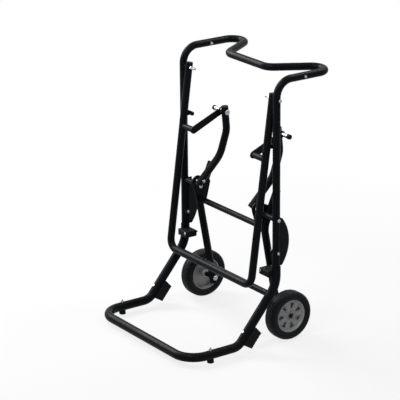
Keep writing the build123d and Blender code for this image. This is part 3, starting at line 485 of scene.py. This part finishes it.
def line_bead(path, normal, bead_r):
    """A weld bead along an open path, whose radius falls to nothing at both ends.

    It falls as the square root of the distance to the end, over the bead's own width."""
    steps = np.linspace(0, 1, len(path))[:, None]
    heading = unit(np.gradient(path, axis=0))
    across = unit(np.cross(heading, normal))
    rise = np.cross(across, heading)
    length = np.linalg.norm(np.diff(path, axis=0), axis=1).sum()
    ends = np.sqrt(np.clip(np.minimum(steps, 1 - steps) * length / (2 * bead_r), 0, 1))
    ripples = full_turn * steps * length / ripple_length
    return bead_points(path, across, rise[:, None], bead_r * ends, ripples)


for name, side in sides:
    inwards = -side * sideways
    for label, x, place, way, branch_r, host_along, host_r, bead_r, body in (
            ("brace", frame_x, brace_at, inwards, brace_r, slope_along, lower_r, weld_r, "outer_frame"),
            ("leg_brace", knee_plate_in, leg_brace_at, inwards, cross_r, upwards, 0.0, weld_r, "wheel_legs"),
            ("stub", saw_x, stub_at, inwards, cross_r, saw_along, tube_r, weld_r, "saw_frame"),
            ("arm", bracket_out, stub_at, -inwards, cross_r, upwards, 0.0, weld_r, "saw_frame"),
            ("boss", knee_plate_out, leg_pivot, -inwards, boss_r, upwards, 0.0, small_weld_r, "wheel_legs")):
        bead = ring_bead((side * x, *place), way, branch_r, host_along, host_r, bead_r)
        grid_piece(f"{label}_weld_{name}", bead, body, "black_paint")

# Fillet welds in the two grooves between each wheel leg and its knee plate
groove_x = 0.2153
groove_at = (0.1000, 0.4865)
groove_off = 0.0075
groove_start = 0.010
groove_end = 0.072
groove_steps = 190
leg_way = unit(leg_along)
leg_across = np.cross(sideways, leg_way)
groove_travel = np.linspace(groove_start, groove_end, groove_steps)[:, None] * leg_way
for name, side in sides:
    for edge, way in (("front", -1.0), ("rear", 1.0)):
        groove = np.array((side * groove_x, *groove_at)) + way * groove_off * leg_across + groove_travel
        bead = line_bead(groove, sideways, weld_r)
        grid_piece(f"knee_weld_{edge}_{name}", bead, "wheel_legs", "black_paint", round_rows=False)

# Threads on the bolt ends that stand out of their nuts
bolt_r = 0.004
pivot_bolt_r = 0.005
nut_share = 1.3
skid_plate_t = 0.004
pivot_nut_x = 0.26632
handle_nut_x = frame_x - tube_r - nut_share * bolt_r
skid_nut_x = handle_nut_x - skid_plate_t
handle_bolt_at = (0.217, 1.1355)
skid_bolt_at = (upright_y, 0.4045)
rest_nut_at = (0.1112, 0.320)
rest_bolt_x = 0.267
foot_nut_at = (-0.240, 0.05825)
pivot_thread = 0.0215
short_thread = 0.0055
foot_thread = 0.0042
thread_pitch = 0.00125
thread_depth = 0.00035
thread_steps = 40
pitch_steps = 8
skin_share = 1.004
core_share = 0.9


def thread_points(start, way, radius, length):
    """A screw thread on a bolt's end: its radius rises and falls once for each pitch along the bolt.

    The height above the bolt at a place is the depth times a triangle wave of the distance along the bolt
    over the pitch, less the share of a turn. Both ends run down to the bolt, and an inner wall closes it."""
    first = unit(np.cross(way, upwards if abs(way[2]) < 0.5 else sideways))
    second = np.cross(way, first)
    angle = turn(thread_steps)[:, None]
    along = np.linspace(0, length, int(length / thread_pitch * pitch_steps))[None, :]
    wave = 1 - np.abs(2 * ((along / thread_pitch - angle / full_turn) % 1.0) - 1)
    ends = np.clip(np.minimum(along, length - along) / (thread_pitch / 2), 0, 1)
    outer = radius * skin_share + thread_depth * wave * ends
    inner = np.full((thread_steps, 2), radius * core_share)
    reach = np.concatenate((outer, inner), axis=1)
    travel = np.concatenate((along, [[length, 0.0]]), axis=1) + np.zeros_like(angle)
    out = np.cos(angle) * first + np.sin(angle) * second
    return np.array(start) + reach[..., None] * out[:, None] + travel[..., None] * way


for name, side in sides:
    inwards = -side * sideways
    for label, x, place, way, radius, length in (
            ("saw_pivot", pivot_nut_x, saw_pivot, inwards, pivot_bolt_r, pivot_thread),
            ("handle_bolt", handle_nut_x, handle_bolt_at, inwards, bolt_r, short_thread),
            ("skid_bolt", skid_nut_x, skid_bolt_at, inwards, bolt_r, short_thread),
            ("rest_bolt", rest_bolt_x, rest_nut_at, backwards, bolt_r, short_thread),
            ("foot_bolt", frame_x, foot_nut_at, upwards, bolt_r, foot_thread)):
        thread = thread_points((side * x, *place), way, radius, length)
        grid_piece(f"{label}_thread_{name}", thread, "outer_frame", "zinc_steel")

# Floor and world, which the eye sees as white or nearly so, while the floor keeps the stand's shadow
floor_half = 14.0
floor_grey = 0.50
fade_start = 1.1
fade_end = 2.2
near_white = 0.80
unseen_strength = 0.18


def seen_rays(tree):
    """One for a ray from the camera, off something glossy or through glass, and zero for any other."""
    path = tree.nodes.new("ShaderNodeLightPath")
    seen = path.outputs["Is Camera Ray"]
    for ray in ("Is Glossy Ray", "Is Transmission Ray"):
        either = tree.nodes.new("ShaderNodeMath")
        either.operation = "MAXIMUM"
        tree.links.new(seen, either.inputs[0])
        tree.links.new(path.outputs[ray], either.inputs[1])
        seen = either.outputs["Value"]
    return seen


def pale_floor():
    """A pale matt floor near the object, which turns to plain white further out for the eye alone."""
    pale = Shader("pale_floor")
    pale.paint((floor_grey, floor_grey, floor_grey, 1.0), 0.9, specular=0.1)
    away = pale.node("ShaderNodeVectorMath", {"Vector": pale.place}, operation="LENGTH").outputs["Value"]
    far = pale.ranged(away, fade_start, fade_end, near_white)
    seen = seen_rays(pale.tree)
    both = pale.node("ShaderNodeMath", {0: far, 1: seen}, operation="MULTIPLY").outputs["Value"]
    white = pale.node("ShaderNodeEmission", {"Strength": 1.0}).outputs["Emission"]
    blend = pale.node("ShaderNodeMixShader", {0: both, 1: pale.surface.outputs["BSDF"], 2: white})
    pale.tree.links.new(blend.outputs["Shader"], pale.tree.nodes["Material Output"].inputs["Surface"])
    return pale.material


def white_studio():
    """A world that is seen as plain white and lights the object at a lower strength."""
    studio = bpy.data.worlds.new("studio")
    studio.use_nodes = True
    tree = studio.node_tree
    strength = tree.nodes.new("ShaderNodeMapRange")
    strength.inputs["To Min"].default_value = unseen_strength
    background = tree.nodes["Background"]
    background.inputs["Color"].default_value = (1.0, 1.0, 1.0, 1.0)
    tree.links.new(seen_rays(tree), strength.inputs["Value"])
    tree.links.new(strength.outputs["Result"], background.inputs["Strength"])
    return studio


floor_corners = [(x, y, 0) for x, y in ((-floor_half, -floor_half), (floor_half, -floor_half),
                                        (floor_half, floor_half), (-floor_half, floor_half))]
floor_mesh = bpy.data.meshes.new("floor")
floor_mesh.from_pydata(floor_corners, [], [(0, 1, 2, 3)])
floor_mesh.materials.append(pale_floor())
floor = placed("floor", floor_mesh)
bpy.context.scene.world = white_studio()

# Studio light, and the camera at the photograph's angle
middle = Vector((0.0, 0.0, 0.55))
camera_turn = np.radians(54.318)
camera_rise = np.radians(19.217)
camera_away = 8.66886
camera_aim = Vector((0.0, -0.065, 0.56504))
camera_back = Vector((np.sin(camera_turn) * np.cos(camera_rise), -np.cos(camera_turn) * np.cos(camera_rise),
                      np.sin(camera_rise)))
focal_length = 188.09
sensor_width = 36.0
shift_right = 0.0021
shift_up = 0.0050
view_depth = 60.0


def face_along(thing, way):
    """Turns a lamp or the camera to look along a way, upright."""
    thing.rotation_mode = "QUATERNION"
    thing.rotation_quaternion = way.to_track_quat("-Z", "Y")


def softbox(name, place, size, power):
    """A square area light at a place, facing the middle of the stand."""
    lamp = bpy.data.lights.new(name, "AREA")
    lamp.shape = "SQUARE"
    lamp.size = size
    lamp.energy = power
    light = placed(name, lamp)
    light.location = place
    face_along(light, middle - Vector(place))


def photo_camera():
    """The camera, at its distance behind the point that it aims at."""
    lens = bpy.data.cameras.new("photo_view")
    lens.lens = focal_length
    lens.sensor_width = sensor_width
    lens.shift_x = shift_right
    lens.shift_y = shift_up
    lens.clip_end = view_depth
    camera = placed("photo_view", lens)
    camera.location = camera_aim + camera_away * camera_back
    face_along(camera, -camera_back)
    return camera


softbox("left_key", (-2.7, -0.4, 2.9), size=1.2, power=120.0)
softbox("left_fill", (-2.8, -1.6, 2.2), size=1.2, power=85.0)
softbox("rear_key", (0.2, 2.0, 3.4), size=1.1, power=70.0)
softbox("front_key", (0.9, -1.7, 3.5), size=0.9, power=60.0)
bpy.context.scene.camera = photo_camera()
bpy.context.scene.view_settings.view_transform = "Standard"
